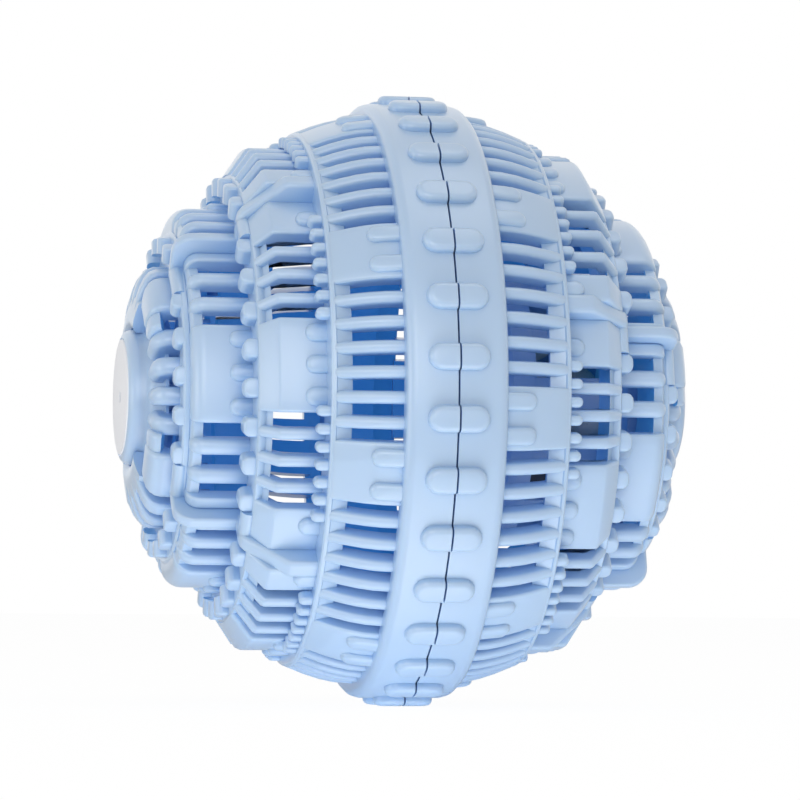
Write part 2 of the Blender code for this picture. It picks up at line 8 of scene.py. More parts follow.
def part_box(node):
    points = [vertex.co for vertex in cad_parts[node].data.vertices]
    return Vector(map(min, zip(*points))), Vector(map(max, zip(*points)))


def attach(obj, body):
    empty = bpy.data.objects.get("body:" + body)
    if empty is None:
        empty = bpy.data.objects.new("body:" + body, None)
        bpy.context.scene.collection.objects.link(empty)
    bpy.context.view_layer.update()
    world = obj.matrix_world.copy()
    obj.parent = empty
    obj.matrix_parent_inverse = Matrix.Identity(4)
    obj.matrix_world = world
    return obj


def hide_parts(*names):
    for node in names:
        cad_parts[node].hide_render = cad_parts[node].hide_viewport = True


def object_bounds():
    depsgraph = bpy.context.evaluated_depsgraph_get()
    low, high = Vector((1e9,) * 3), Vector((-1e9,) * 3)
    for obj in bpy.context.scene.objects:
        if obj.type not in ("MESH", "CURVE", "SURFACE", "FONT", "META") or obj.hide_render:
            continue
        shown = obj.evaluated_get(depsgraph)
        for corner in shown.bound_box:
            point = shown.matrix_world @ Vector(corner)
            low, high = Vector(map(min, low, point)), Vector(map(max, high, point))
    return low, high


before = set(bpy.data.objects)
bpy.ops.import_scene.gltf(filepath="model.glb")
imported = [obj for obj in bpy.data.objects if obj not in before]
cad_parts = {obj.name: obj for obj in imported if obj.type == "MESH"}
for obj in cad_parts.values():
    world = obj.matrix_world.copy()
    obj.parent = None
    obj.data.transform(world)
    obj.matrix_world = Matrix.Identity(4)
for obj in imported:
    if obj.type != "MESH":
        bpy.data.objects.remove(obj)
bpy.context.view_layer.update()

MM = 0.001
DEG = math.pi / 180
MERGE = 0.001 * MM
TINY = 0.0001 * MM

# The two halves are the same moulding. Each clock is the angle, counted from
# the front of the ball, at which its pattern begins.
PILLS = 32
PILL_PITCH = math.tau / PILLS
CLOCK = {"left": 0.5 * PILL_PITCH, "right": 2.5 * PILL_PITCH}
AXES = {"left": Matrix(((0, 0, -1), (-1, 0, 0), (0, 1, 0))).to_4x4(),
        "right": Matrix(((0, 0, 1), (-1, 0, 0), (0, -1, 0))).to_4x4()}

# In degrees: the middles of the recessed and of the raised quadrants, how far
# the rim and the plain ends of each kind reach, and where the ridges between
# them are, from the middle of a recessed one
LOW = (0, 180)
HIGH = (90, 270)
QUADRANTS = ((LOW, 46.4, 46.0), (HIGH, 41.6, 41.0))
RIDGE_AT = 47.8


def shoulder(start, radius, flat, turn, steps=6):
    """A profile that runs flat and then turns down in a quarter round."""
    angles = [k * math.pi / 2 / steps for k in range(steps + 1)]
    arc = [(flat + turn * math.sin(a), radius - turn + turn * math.cos(a)) for a in angles]
    return [(start, radius)] + arc


# Profiles as (height towards the pole, radius) in millimetres
SEAM = 0.15
BAND_RADIUS = 48.6
LINE_A = [(7.6, 46.35), (10.5, 46.1), (13.0, 45.55), (15.5, 44.75), (17.5, 43.95), (18.4, 43.6)]
LINE_B_HIGH = [(17.7, 40.9), (25.9, 40.9), (26.5, 40.65), (29.3, 36.5)]
LINE_B_LOW = [(17.7, 38.7), (25.9, 38.7), (26.4, 38.45), (28.9, 35.4)]
LINE_B_RIDGE = [(17.7, 42.0), (23.0, 42.0), (23.7, 41.7), (29.8, 36.1), (30.3, 35.3), (30.5, 34.3),
                (30.5, 30.0)]
BACK_B_RIDGE = [(28.6, 30.0), (28.0, 33.5), (23.0, 37.6), (17.7, 37.6)]
LINE_C_HIGH = shoulder(29.0, 30.8, 35.8, 2.7) + [(38.5, 27.0)]
LINE_C_LOW = shoulder(28.0, 28.6, 36.1, 2.2) + [(38.3, 25.2)]
LINE_C_RIDGE = shoulder(29.0, 31.2, 37.0, 3.3) + [(40.3, 23.4)]
BACK_C_RIDGE = [(38.4, 23.4), (37.8, 26.2), (36.0, 27.8), (29.0, 27.8)]
LINE_D_HIGH = [(37.6, 21.3), (41.1, 21.2), (42.3, 20.7), (43.1, 19.7), (43.7, 18.4), (44.2, 16.8),
               (44.5, 15.0), (44.7, 13.2)]
LINE_D_SIDE = [(37.6, 21.5), (41.1, 21.4), (42.2, 21.1), (43.0, 20.4), (43.55, 19.3), (43.8, 17.9),
               (43.85, 16.3)]
LINE_D_LOW = [(37.5, 19.9), (40.8, 19.7), (42.0, 19.2), (42.8, 18.4), (43.2, 17.6), (43.4, 16.8)]


# Shader maths
SHADER = "Principled BSDF"


class Value:
    """A socket that Python's operators work on."""

    def __init__(self, nodes, socket):
        self.nodes = nodes
        self.socket = socket

    def _math(self, operation, a, b):
        return self.nodes.node("ShaderNodeMath", {0: a, 1: b}, operation=operation)

    def __add__(self, other):
        return self._math("ADD", self, other)

    def __mul__(self, other):
        return self._math("MULTIPLY", self, other)

    __radd__ = __add__
    __rmul__ = __mul__


class Nodes:
    """The nodes of one tree."""

    def __init__(self, tree):
        self.tree = tree

    def node(self, kind, values=(), output=0, stops=(), **settings):
        """Make a node from its type, settings, ramp stops and sockets' values."""
        made = self.tree.nodes.new(kind)
        for name, value in settings.items():
            setattr(made, name, value)
        if stops:
            ramp = made.color_ramp
            while len(ramp.elements) < len(stops):
                ramp.elements.new(0.5)
            for element, (place, colour) in zip(ramp.elements, stops):
                element.position = place
                element.color = (*colour, 1.0)
        for key, value in dict(values).items():
            if isinstance(value, Value):
                self.tree.links.new(value.socket, made.inputs[key])
            else:
                made.inputs[key].default_value = value
        return Value(self, made.outputs[output])

    def connect(self, value, node, socket):
        self.tree.links.new(value.socket, self.tree.nodes[node].inputs[socket])


class Paint(Nodes):
    """The nodes of one plastic or ceramic material."""

    def __init__(self, name, **constants):
        self.material = bpy.data.materials.new(name)
        self.material.use_nodes = True
        super().__init__(self.material.node_tree)
        shader = self.tree.nodes[SHADER]
        for key, value in constants.items():
            shader.inputs[key.replace("_", " ")].default_value = value

    def place(self):
        return self.node("ShaderNodeTexCoord", output="Object")

    def normal(self):
        return self.node("ShaderNodeNewGeometry", output="Normal")

    def noise(self, where, scale, detail=3.0, roughness=0.5):
        return self.node("ShaderNodeTexNoise", {"Vector": where, "Scale": scale, "Detail": detail,
                                                "Roughness": roughness})

    def between(self, value, low, high, **settings):
        """Nought below the low value and one above the high one."""
        return self.node("ShaderNodeMapRange", {"Value": value, "From Min": low, "From Max": high},
                         **settings)

    def ramp(self, value, *stops):
        return self.node("ShaderNodeValToRGB", {"Fac": value}, stops=stops)

    def mix(self, factor, a, b):
        """One colour to another by a factor, through the Mix node's colour sockets."""
        return self.node("ShaderNodeMix", {0: factor, 6: a, 7: b}, output=2, data_type="RGBA")

    def bump(self, height, distance, strength):
        return self.node("ShaderNodeBump", {"Height": height, "Distance": distance,
                                            "Strength": strength})

    def feed(self, **links):
        for key, value in links.items():
            self.connect(value, SHADER, key.replace("_", " "))
        return self.material


def rgba(r, g, b):
    return (r, g, b, 1.0)


def blue_plastic():
    """Pale blue moulded plastic: a little cloudiness, a fine satin skin, painted shade and a
    painted glow.
    """
    paint = Paint("moulded_blue_plastic", Specular_IOR_Level=0.55, IOR=1.49, Coat_Weight=1.0,
                  Coat_Roughness=0.3, Emission_Strength=0.13, Subsurface_Weight=0.12,
                  Subsurface_Radius=(0.6, 0.9, 1.6), Subsurface_Scale=0.0012)
    where = paint.place()
    cloud = paint.noise(where, 26.0, 2.0)
    flow = paint.noise(where, 120.0, 3.0)
    grain = paint.noise(where, 2600.0, 2.0, 0.6)
    # Painted shade: surfaces that face in towards the middle of the ball, and recesses found by
    # ambient occlusion, are coloured a deeper blue where shade falls.
    outward = paint.node("ShaderNodeVectorMath", {0: where}, operation="NORMALIZE")
    facing = paint.node("ShaderNodeVectorMath", {0: outward, 1: paint.normal()},
                        output="Value", operation="DOT_PRODUCT")
    occlusion = paint.node("ShaderNodeAmbientOcclusion", {"Distance": 0.006}, output="AO",
                          samples=8)
    pale = paint.mix(cloud * 0.5 + flow * 0.2, rgba(0.43, 0.595, 0.815), rgba(0.495, 0.65, 0.85))
    painted_shade_blue = paint.ramp(facing * 0.5 + 0.5, (0.0, (0.11, 0.47, 0.9)), (0.5, (0.27, 0.48, 0.8)),
                      (0.8, (0.33, 0.53, 0.81)))
    light = paint.between(occlusion, 0.12, 0.92, interpolation_type="SMOOTHSTEP")
    side = paint.between(facing, -0.7, 0.4)
    colour = paint.mix(light * side, painted_shade_blue, pale)
    # Painted glow: surfaces that face in towards the middle give off a faint blue light, at the
    # emission strength set above, though the plastic is no lamp.
    glow_off_share = paint.between(facing, -0.8, -0.3)
    painted_glow = paint.mix(glow_off_share, rgba(0.06, 0.38, 0.8), rgba(0, 0, 0))
    rough = flow * 0.1 + 0.3
    skin = paint.bump(grain, 0.00002, 0.35)
    return paint.feed(Base_Color=colour, Emission_Color=painted_glow, Roughness=rough, Normal=skin)


def white_plastic():
    """The cap's disc: smooth off-white with a faint bloom."""
    paint = Paint("smooth_white_plastic", Specular_IOR_Level=0.5, IOR=1.5)
    where = paint.place()
    cloud = paint.noise(where, 180.0, 3.0)
    colour = paint.mix(cloud, rgba(0.9, 0.91, 0.95), rgba(0.95, 0.955, 0.98))
    rough = cloud * 0.12 + 0.34
    skin = paint.bump(paint.noise(where, 1800.0, 2.0), 0.00002, 0.25)
    return paint.feed(Base_Color=colour, Roughness=rough, Normal=skin)


def fired_ceramic(name, dark, light, speck):
    """Matt fired clay with grog specks and a sandy skin."""
    paint = Paint(name, Specular_IOR_Level=0.3)
    where = paint.place()
    cloud = paint.noise(where, 240.0, 4.0, 0.6)
    sand = paint.noise(where, 1500.0, 3.0, 0.7)
    grog = paint.node("ShaderNodeTexVoronoi", {"Vector": where, "Scale": 900.0}, output="Distance")
    colour = paint.mix(cloud, dark, light)
    specks = paint.ramp(grog, (0.0, (1, 1, 1)), (0.18, (0, 0, 0)))
    colour = paint.mix(specks * 0.5, colour, speck)
    rough = sand * 0.2 + 0.55
    return paint.feed(Base_Color=colour, Roughness=rough,
                      Normal=paint.bump(sand + specks * 0.3, 0.00006, 0.6))


# Shape tools
def radius_at(line, height):
    """The radius of a profile at a height."""
    for (low, near), (high, far) in zip(line, line[1:]):
        if low <= height <= high and high > low:
            return near + (far - near) * (height - low) / (high - low)
    return line[0][1] if height < line[0][0] else line[-1][1]


def to_mesh(bm, name):
    mesh = bpy.data.meshes.new(name)
    bm.to_mesh(mesh)
    bm.free()
    return mesh


def corner_at(bm, radius, across, height):
    """A vertex from a radius, a distance across and a height in millimetres."""
    return bm.verts.new((radius * MM, across * MM, height * MM))


def turned(outline, steps, closed=False):
    """A full turn about Z of an outline: open, from axis to axis, or closed."""
    bm = bmesh.new()
    corners = [corner_at(bm, radius, 0, height) for height, radius in outline]
    sides = [bm.edges.new(pair) for pair in zip(corners, corners[1:])]
    if closed:
        sides.append(bm.edges.new((corners[-1], corners[0])))
    bmesh.ops.spin(bm, geom=corners + sides, cent=(0, 0, 0), axis=(0, 0, 1), angle=math.tau,
                   steps=steps, use_merge=True, use_duplicate=False)
    bmesh.ops.remove_doubles(bm, verts=bm.verts[:], dist=MERGE)
    bmesh.ops.recalc_face_normals(bm, faces=bm.faces[:])
    return to_mesh(bm, "turned")


def ring_of(outline, steps):
    return turned(outline, steps, closed=True)


def raised(bm, face, vec):
    """Extrude a face along a vector and return the new corners."""
    made = bmesh.ops.extrude_face_region(bm, geom=[face], use_keep_orig=True)["geom"]
    far = [item for item in made if isinstance(item, bmesh.types.BMVert)]
    bmesh.ops.translate(bm, vec=vec, verts=far)
    return far


def round_edges(bm, edges, size, segments):
    if edges and size:
        bmesh.ops.bevel(bm, geom=edges, offset=size * MM, segments=segments, affect="EDGES",
                        profile=0.5, material=-1, clamp_overlap=True)


def underside(line, depth):
    """The way back along a profile, a depth below it."""
    sides = []
    for (low, near), (high, far) in zip(line, line[1:]):
        length = math.hypot(high - low, far - near)
        sides.append(((far - near) / length, (low - high) / length))
    moved = []
    for k, (height, radius) in enumerate(line):
        (a, b), (c, d) = sides[max(k - 1, 0)], sides[min(k, len(sides) - 1)]
        share = depth / (1 + a * c + b * d)
        moved.append((height + (a + c) * share, radius + (b + d) * share))
    return moved[::-1]


def bar(line, depth, width, soft, segments=3):
    """A straight rib with a profile for its top and its long top edges rounded."""
    bm = bmesh.new()
    outline = line + underside(line, depth)
    corners = [corner_at(bm, radius, -width / 2, height) for height, radius in outline]
    tops = {(corner.co.x, corner.co.z) for corner in corners[:len(line)]}
    raised(bm, bm.faces.new(corners), (0, width * MM, 0))
    long_edges = [edge for edge in bm.edges
                  if all((end.co.x, end.co.z) in tops for end in edge.verts)
                  and abs(edge.verts[0].co.y - edge.verts[1].co.y) < TINY]
    round_edges(bm, long_edges, soft, segments)
    bmesh.ops.recalc_face_normals(bm, faces=bm.faces[:])
    return to_mesh(bm, "bar")


def sector(outline, width, steps):
    """A closed outline swept through part of a turn, about an angle of nought."""
    bm = bmesh.new()
    turn = Matrix.Rotation(-width / 2, 3, "Z")
    corners = [bm.verts.new(turn @ Vector((radius * MM, 0, height * MM)))
               for height, radius in outline]
    face = bm.faces.new(corners)
    swept = bmesh.ops.spin(bm, geom=[face] + face.edges[:] + corners, cent=(0, 0, 0),
                           axis=(0, 0, 1), angle=width, steps=steps,
                           use_duplicate=False)["geom_last"]
    bmesh.ops.recalc_face_normals(bm, faces=bm.faces[:])
    last = [item for item in swept if isinstance(item, bmesh.types.BMVert)]
    return bm, corners, last


def block(outline, width, steps=4):
    """A plain sector."""
    return to_mesh(sector(outline, width, steps)[0], "block")


def panel(line, back, width, soft, steps=6):
    """A curved panel with a profile for its top, another for its underside, and
    the top edges of both its ends rounded."""
    bm, first, last = sector(line + back, width, steps)

    def spot(corner):
        return round(corner.co.z, 7), round(math.hypot(corner.co.x, corner.co.y), 7)

    top = {spot(corner) for corner in first[:len(line)]}
    ends = [edge for group in (set(first), set(last)) for edge in bm.edges
            if set(edge.verts) <= group and all(spot(corner) in top for corner in edge.verts)]
    round_edges(bm, ends, soft, 3)
    bmesh.ops.recalc_face_normals(bm, faces=bm.faces[:])
    return to_mesh(bm, "panel")


def finger(line, floor, width, soft):
    """A rib with a round tip: sections across it, bridged from root to tip."""
    half = width / 2
    round_from = line[-1][0] - half
    round_gap = 0.1
    round_steps = 8
    places = [(height, half) for height, _ in line if height < round_from - round_gap]
    for k in range(round_steps):
        angle = k * math.pi / 2 / round_steps
        places.append((round_from + half * math.sin(angle), half * math.cos(angle)))
    bm = bmesh.new()
    loops = []
    for height, reach in places:
        top = radius_at(line, height)
        corner = min(soft, reach * 0.9)
        turns = [k * math.pi / 6 for k in range(4)]
        arc = [(top - corner + corner * math.sin(a), reach - corner + corner * math.cos(a))
               for a in turns]
        half_arch = [(floor, reach)] + arc
        outline = half_arch + [(radius, -across) for radius, across in half_arch[::-1]]
        corners = [corner_at(bm, radius, across, height) for radius, across in outline]
        loops.append([bm.edges.new((corners[k - 1], corners[k])) for k in range(len(corners))])
    for near, far in zip(loops, loops[1:]):
        bmesh.ops.bridge_loops(bm, edges=near + far)
    bmesh.ops.contextual_create(bm, geom=loops[0])
    bmesh.ops.contextual_create(bm, geom=loops[-1])
    bmesh.ops.recalc_face_normals(bm, faces=bm.faces[:])
    return to_mesh(bm, "finger")


def bullet(start, end, width, proud, sink, soft, segments=3, square=0.0):
    """A raised bump on a flat ground at x = 0. It begins square at one end and is
    rounded in plan at the other, or has its corners cut there by a square size."""
    half = width / 2
    bm = bmesh.new()
    if square:
        plan = [(start, -half), (end - square, -half), (end, -half + square), (end, half - square),
                (end - square, half), (start, half)]
    else:
        middle = end - half
        arc = [(middle + half * math.sin(k * math.pi / 8), -half * math.cos(k * math.pi / 8))
               for k in range(9)]
        plan = [(start, -half)] + arc + [(start, half)]
    face = bm.faces.new([corner_at(bm, -sink, across, along) for along, across in plan])
    top = raised(bm, face, ((proud + sink) * MM, 0, 0))
    past_start = (start + 0.01) * MM
    edges = [edge for edge in bm.edges if any(corner in top for corner in edge.verts)]
    rim = [edge for edge in edges if all(corner in top for corner in edge.verts)
           and any(corner.co.z > past_start for corner in edge.verts)]
    if square:
        rim += [edge for edge in edges if edge not in rim
                and abs(edge.verts[0].co.x - edge.verts[1].co.x) > TINY
                and edge.verts[0].co.z > past_start]
    round_edges(bm, rim, soft, segments)
    bmesh.ops.recalc_face_normals(bm, faces=bm.faces[:])
    return to_mesh(bm, "bullet")


class Moulding:
    """One piece of a half, filled with copies of shapes around the axis."""

    def __init__(self):
        self.bm = bmesh.new()

    def add(self, shape, angles=(0.0,), line=None, lift=0.0):
        """Put a shape in at each angle. With a line, it is raised to that profile."""
        for angle in angles:
            before = len(self.bm.verts)
            self.bm.from_mesh(shape)
            self.bm.verts.ensure_lookup_table()
            new = self.bm.verts[before:]
            if line or lift:
                for corner in new:
                    ground = radius_at(line, corner.co.z / MM) if line else 0.0
                    corner.co.x += (ground + lift) * MM
            bmesh.ops.rotate(self.bm, verts=new, cent=(0, 0, 0),
                             matrix=Matrix.Rotation(angle, 3, "Z"))
        return self

    def finish(self, name, side, body, node, finish):
        """Turn the piece into place and give it to the body it moves with."""
        bmesh.ops.transform(self.bm, matrix=AXES[side] @ Matrix.Rotation(CLOCK[side], 4, "Z"),
                            verts=self.bm.verts[:])
        as_piece(to_mesh(self.bm, name), name, body, node, finish)


def put_in_scene(name, data):
    made = bpy.data.objects.new(name, data)
    bpy.context.scene.collection.objects.link(made)
    return made


def as_piece(mesh, name, body, node, finish):
    made = put_in_scene(name, mesh)
    mesh.materials.append(FINISHES[finish])
    mesh.shade_smooth()
    mesh.set_sharp_from_angle(angle=35 * DEG)
    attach(made, body)
    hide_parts(node)


def both_ways(*offsets):
    """Angles about a quadrant's middle, on both sides of it."""
    return [angle for offset in offsets for angle in ((offset, -offset) if offset else (offset,))]


def spread(middles, offsets=(0,)):
    """Every offset about every middle, from degrees."""
    return [(middle + offset) * DEG for middle in middles for offset in offsets]


def band(side):
    """The equator band with its half bumps, and the spigot or the socket."""
    top = [(SEAM, BAND_RADIUS), (6.4, BAND_RADIUS), (7.3, 48.35), (7.85, 47.8), (8.0, 47.2),
           (8.0, 45.5)]
    if side == "left":
        inner = [(5.2, 45.5), (4.4, 43.2), (-3.85, 43.2), (-3.85, 44.3), (-3.35, 44.8),
                 (SEAM, 44.8)]
    else:
        inner = [(5.2, 45.5), (4.6, 45.1), (SEAM, 45.1)]
    pill = bullet(SEAM, 4.85, 4.2, 1.38, 0.8, 0.95, segments=4)
    piece = Moulding().add(ring_of(top + inner, 256))
    return piece.add(pill, [k * PILL_PITCH for k in range(PILLS)], lift=BAND_RADIUS)


def ring_a():
    """Closely spaced ribs between plain panels, with a sloped web and a thin rim."""
    piece = Moulding()
    web = [(15.6, 42.9), (18.0, 43.35), (18.2, 43.6), (18.65, 43.5), (18.9, 43.2), (18.9, 36.9),
           (16.9, 36.9), (16.9, 41.5), (15.6, 41.9)]
    piece.add(ring_of(web, 192))
    eighths = [22.5 + 45 * k for k in range(8)]
    rib = bar(LINE_A, 2.7, 2.05, 0.92)
    piece.add(rib, spread(eighths, [10 + 5 * n for n in range(6)]))
    piece.add(panel(LINE_A, underside(LINE_A, 2.7), 12.65 * DEG, 0.5), spread(eighths))
    bump = bullet(7.9, 12.9, 2.9, 0.9, 0.6, 0.75)
    return piece.add(bump, spread(eighths, (-3.35, 3.35)), line=LINE_A)


def quadrant_ring(lines, rims, webs, slots, slot_width, middle_half, depth, soft):
    """The quadrants of a ring, in turn recessed and raised: a plain panel in the
    middle of each, ribs on both sides of it, and a rim and a web on the pole
    side. Angles are in degrees, and the slots are where their middles are."""
    piece = Moulding()
    for (middles, reach, end), line, rim, web, places in zip(QUADRANTS, lines, rims, webs, slots):
        under = underside(line, depth)
        piece.add(block(rim, 2 * reach * DEG, 24), spread(middles))
        piece.add(block(web, 2 * reach * DEG, 24), spread(middles))
        piece.add(panel(line, under, 2 * middle_half * DEG, soft, 8), spread(middles))
        for a, b in zip(places, places[1:]):
            width = (b - a - slot_width) * DEG * line[0][1]
            rib = bar(line, depth, width, width * 0.44, 4)
            piece.add(rib, spread(middles, both_ways((a + b) / 2)))
        start = places[-1] + slot_width / 2
        piece.add(panel(line, under, (end - start) * DEG, soft, 4),
                  spread(middles, both_ways((end + start) / 2)))
    return piece


def add_ridges(piece, line, back, width, soft, leg, leg_start):
    """A ridge wherever two quadrants meet, with a leg along the rim below it."""
    piece.add(panel(line, back, width * DEG, soft, 3), spread(LOW, both_ways(RIDGE_AT)))
    piece.add(block(leg, (RIDGE_AT - leg_start) * DEG, 4),
              spread(LOW, both_ways((RIDGE_AT + leg_start) / 2)))


def ring_b():
    """The second ring, with its panels' bumps and the small studs on the wall."""
    lines = (LINE_B_LOW, LINE_B_HIGH)
    rims = ([(27.0, 34.8), (28.3, 35.4), (28.75, 35.4), (28.95, 35.1), (28.95, 28.0),
             (27.0, 28.0)],
            [(27.4, 36.0), (28.6, 36.5), (29.05, 36.5), (29.25, 36.2), (29.25, 28.0),
             (27.4, 28.0)])
    webs = ([(26.8, 36.1), (28.4, 34.4), (28.4, 33.2), (26.8, 34.9)],
            [(27.0, 38.1), (28.7, 35.8), (28.7, 34.6), (27.0, 36.9)])
    slots = (13, 19.5, 26, 32.5)
    piece = quadrant_ring(lines, rims, webs, (slots, slots), 3.7, 11.2, 2.3, 0.5)
    leg = [(28.1, 34.8), (28.6, 35.25), (29.2, 35.4), (29.7, 35.3), (30.1, 35.0), (30.4, 34.5),
           (30.5, 33.9), (30.5, 33.3), (30.1, 32.8), (28.1, 32.8)]
    add_ridges(piece, LINE_B_RIDGE, BACK_B_RIDGE, 4.4, 0.8, leg, 39.2)
    bump = bullet(18.6, 22.2, 3.0, 0.95, 0.8, 0.8)
    stud = bullet(18.4, 21.0, 1.7, 0.85, 0.9, 0.6)
    stud_places = both_ways(*(10.5 + 3.85 * k for k in range(7)))
    for middles, line in ((LOW, LINE_B_LOW), (HIGH, LINE_B_HIGH)):
        piece.add(bump, spread(middles, both_ways(0, 7.4, 38.7)), line=line)
        piece.add(stud, spread(middles, stud_places), lift=41.95)
    return piece


def ring_c():
    """The third ring, with square studs on the wall beside it."""
    lines = (LINE_C_LOW, LINE_C_HIGH)
    rims = ([(36.5, 24.2), (37.9, 25.0), (38.25, 25.5), (39.0, 25.5), (39.3, 25.1), (39.3, 21.6),
             (36.5, 21.6)],
            [(36.6, 25.8), (38.0, 26.9), (38.5, 27.0), (38.8, 26.6), (38.8, 20.4), (36.6, 20.4)])
    webs = ([(36.3, 26.9), (37.7, 26.9), (38.1, 26.4), (38.2, 25.4), (38.2, 24.4), (36.3, 24.4)],
            [(36.3, 29.1), (37.8, 29.1), (38.2, 28.6), (38.3, 27.6), (38.3, 26.0), (36.3, 26.0)])
    slots = ((19.0, 29.2, 39.4), (18.4, 27.6, 36.8))
    piece = quadrant_ring(lines, rims, webs, slots, 4.8, 16.1, 2.3, 0.6)
    leg = [(38.2, 25.2), (38.7, 25.6), (39.2, 25.7), (39.7, 25.6), (40.05, 25.3), (40.25, 24.8),
           (40.3, 24.2), (40.3, 23.6), (39.9, 23.1), (38.2, 23.1)]
    add_ridges(piece, LINE_C_RIDGE, BACK_C_RIDGE, 3.7, 0.55, leg, 33.0)
    for middles, line, wall, lift in ((LOW, LINE_C_LOW, 28.9, 33.2),
                                      (HIGH, LINE_C_HIGH, 29.1, 34.6)):
        bump = bullet(wall - 1.4, wall + 3.6, 2.8, 0.95, 0.8, 0.8)
        piece.add(bump, spread(middles, both_ways(0, 10.8)), line=line)
        stud = bullet(wall - 0.6, wall + 2.2, 3.1, 1.4, 1.6, 0.7, square=0.7)
        piece.add(stud, spread(middles, both_ways(5.2, 15.6, 26.0, 36.6)), lift=lift)
    return piece


def ring_d():
    """The inner ring: a cone round the cap with four low fingers in each
    recessed quadrant, and a dome of broad fingers in each raised one."""
    piece = Moulding()
    cone = [(44.2, 11.01), (43.5, 11.1), (42.9, 11.35), (42.35, 11.8), (41.85, 12.5), (41.4, 13.4),
            (41.05, 14.6), (40.8, 16.2), (40.3, 16.2), (40.3, 13.6), (40.7, 11.01)]
    piece.add(ring_of(cone, 128))
    foot = [(37.0, 21.8), (38.3, 21.8), (38.6, 21.4), (38.6, 13.7), (38.3, 13.4), (37.0, 13.4)]
    piece.add(block(foot, 90 * DEG, 24), spread(LOW))
    piece.add(finger(LINE_D_LOW, 14.0, 3.0, 1.1), spread(LOW, both_ways(7.4, 22.2)))
    arch = [(41.9, 20.3), (42.7, 20.0), (43.3, 19.2), (43.65, 18.1), (43.75, 16.6)]
    for line, depth, width, soft, steps, places in (
            (LINE_D_SIDE, 3.0, 23.6, 0.9, 8, spread(HIGH, both_ways(44.5))),
            (arch, 2.4, 10, 0.7, 4, spread(LOW, both_ways(30.2))),
            (LINE_D_HIGH, 3.0, 8.6, 0.8, 3, spread(HIGH, both_ways(7.4, 22.2)))):
        piece.add(panel(line, underside(line, depth), width * DEG, soft, steps), places)
    crown = [(43.3, 16.6), (44.1, 16.2), (44.5, 14.8), (44.8, 13.3), (44.85, 12.3), (44.6, 11.6),
             (44.2, 11.3), (42.4, 11.3), (42.0, 14.4)]
    piece.add(block(crown, 62 * DEG, 18), spread(HIGH))
    for middles, start, lift in ((LOW, 38.1, 24.1), (HIGH, 38.2, 24.9)):
        stud = bullet(start, start + 2.6, 3.0, 1.2, 1.4, 0.75, square=0.6)
        piece.add(stud, spread(middles, both_ways(0, 14.8, 29.6)), lift=lift)
    return piece


def cap(side):
    """The polar cap with its soft cone, flange and stem, and the blank disc."""
    outline = [(42.6, 0.0), (42.6, 0.95), (45.85, 1.0), (45.85, 9.5), (45.95, 9.6), (45.9, 9.9),
               (45.7, 10.3), (45.4, 10.6), (45.0, 10.83), (44.4, 10.97), (43.8, 11.0),
               (40.65, 11.0), (40.65, 13.4), (39.05, 13.4), (39.05, 5.0), (33.85, 5.0),
               (33.85, 3.2), (40.65, 3.2), (40.65, 0.0)]
    piece = Moulding().add(turned(outline, 96))
    piece.finish(side + "_polar_cap", side, side + "_half", side + "_cap", BLUE)
    outline = [(45.8, 0.95), (46.05, 0.95), (46.15, 1.05), (46.15, 9.1), (46.1, 9.32),
               (45.95, 9.4), (45.8, 9.4)]
    piece = Moulding().add(ring_of(outline, 96))
    piece.finish(side + "_cap_disc", side, side + "_half", side + "_disc", WHITE)


def bead_basket():
    """The basket: floor, rim, side bars, cross wall and the boss on the stem."""
    piece = Moulding()
    floor = [(33.55, 0.0), (33.55, 5.3), (38.75, 5.3), (38.75, 6.8), (33.85, 6.8), (33.85, 19.5),
             (32.35, 21.0), (31.9, 20.9), (31.9, 19.5), (32.35, 19.4), (32.35, 0.0)]
    piece.add(turned(floor, 72))
    rim = [(18.5, 19.5), (18.5, 20.9), (15.6, 20.9), (15.45, 20.7), (15.45, 19.6)]
    piece.add(ring_of(rim, 72))
    post = bar([(15.6, 20.9), (32.3, 20.9)], 1.4, 5.2, 0.3)
    piece.add(post, [k * 30 * DEG for k in range(12)])
    wall = bar([(15.8, 19.8), (33.0, 19.8)], 39.6, 1.5, 0.0)
    piece.add(wall, (0.0, 90 * DEG))
    piece.finish("basket_cage", "right", "right_half", "bead_basket", BLUE)


def basket_lid():
    """The slotted lid of the basket: a skirt ring crossed by flat bars."""
    piece = Moulding()
    skirt = [(15.15, 17.6), (15.15, 21.35), (17.7, 21.35), (17.7, 22.7), (14.3, 22.75),
             (13.6, 22.1), (13.6, 17.6)]
    piece.add(ring_of(skirt, 96))
    pitch, width, thickness, middle, radius = 6.4, 3.2, 1.5, 14.37, 18.2
    for k in range(-2, 3):
        across = k * pitch
        reach = math.sqrt(radius ** 2 - across ** 2)
        slat = bmesh.new()
        corners = bmesh.ops.create_cube(slat, size=MM)["verts"]
        bmesh.ops.scale(slat, vec=(2 * reach, width, thickness), verts=corners)
        bmesh.ops.translate(slat, vec=(0, across * MM, middle * MM), verts=corners)
        round_edges(slat, slat.edges[:], 0.3, 2)
        piece.add(to_mesh(slat, "slat"))
    piece.finish("basket_cover", "right", "lid", "basket_lid", BLUE)


def ceramic_bead(node, finish, squash):
    """A slightly uneven fired bead in the place of its node."""
    low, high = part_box(node)
    middle = [(a + b) / 2 for a, b in zip(low, high)]
    bm = bmesh.new()
    bmesh.ops.create_icosphere(bm, subdivisions=3, radius=3.93 * MM)
    bmesh.ops.scale(bm, vec=squash, verts=bm.verts[:])
    bmesh.ops.translate(bm, vec=middle, verts=bm.verts[:])
    as_piece(to_mesh(bm, node), "ceramic_" + node, "right_half", node, finish)


